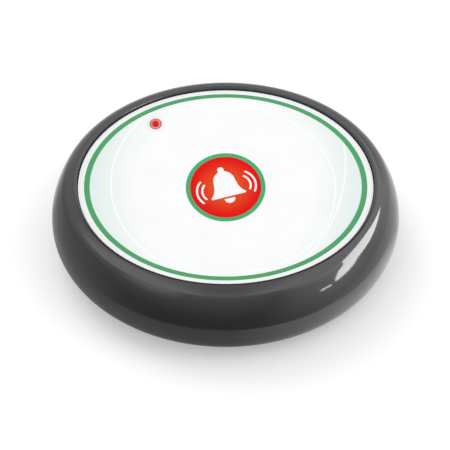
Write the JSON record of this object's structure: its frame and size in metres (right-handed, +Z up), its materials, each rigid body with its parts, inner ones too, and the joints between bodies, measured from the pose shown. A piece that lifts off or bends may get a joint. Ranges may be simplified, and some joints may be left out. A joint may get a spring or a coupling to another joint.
{
  "type": "nurse call button",
  "caption": "Round table puck that calls a nurse by radio: glossy grey housing, white printed face that is pressed anywhere, red lamp and a coin cell under a twist door.",
  "frame": {"origin": "centre of the footprint, on the table under the feet", "axes": "+X to the right of a user who reads the face, +Y away from the user, +Z up"},
  "size_m": [0.0862, 0.0862, 0.0206],
  "materials": {
    "housing_plastic": "smooth glossy moulding",
    "base_plastic": "fine satin moulding",
    "seal_rubber": "soft matt rubber",
    "foot_rubber": "soft matt rubber",
    "printed_face": "smooth printed sheet",
    "adhesive_film": "clear film",
    "plate_white": "smooth moulding",
    "switch_black": "matt moulding",
    "bright_steel": "bright",
    "tinned_copper": "tin plated",
    "lamp_red": "clear tinted resin",
    "board_green": "solder mask",
    "chip_black": "moulded epoxy",
    "antenna_gold": "plated wire",
    "can_blue": "sleeved can",
    "ceramic_tan": "fired ceramic",
    "cell_steel": "plated can left plain"
  },
  "bodies": {
    "housing": {"upper_housing": "housing_plastic", "lower_housing": "base_plastic", "housing_seal": "seal_rubber", "rubber_feet": "foot_rubber", "switch_base": "switch_black", "switch_cover": "bright_steel", "switch_pins": "tinned_copper", "indicator_lamp": "lamp_red", "lamp_leads": "tinned_copper", "circuit_board": "board_green", "encoder_chip": "chip_black", "chip_pins": "tinned_copper", "rf_resonator": "bright_steel", "rf_transistor": "chip_black", "spring_antenna": "antenna_gold", "buffer_capacitor": "can_blue", "chip_resistors": "chip_black", "chip_capacitors": "ceramic_tan", "battery": "cell_steel", "battery_contact": "tinned_copper", "battery_spring": "bright_steel", "housing_screws": "bright_steel", "board_screws": "bright_steel"},
    "key": {"call_key": "plate_white", "face_label": "printed_face", "label_adhesive": "adhesive_film"},
    "plunger": {"switch_plunger": "switch_black"},
    "door": {"battery_door": "base_plastic"}
  },
  "joints": [
    {"name": "call_key_press", "type": "slide", "parent": "housing", "child": "key", "axis": [0, 0, -1], "range_m": [0, 0.0005], "stiffness_N_per_m": 2000, "springref_m": -0.0004},
    {"name": "switch_plunger_press", "type": "slide", "parent": "housing", "child": "plunger", "axis": [0, 0, -1], "range_m": [0, 0.0005]},
    {"name": "battery_door_twist", "type": "hinge", "parent": "housing", "child": "door", "pos_m": [0, 0, 0.0014], "axis": [0, 0, 1], "range_deg": [0, 60]}
  ],
  "couplings": [
    {"joint": "switch_plunger_press", "follows": "call_key_press", "ratio": 1}
  ]
}
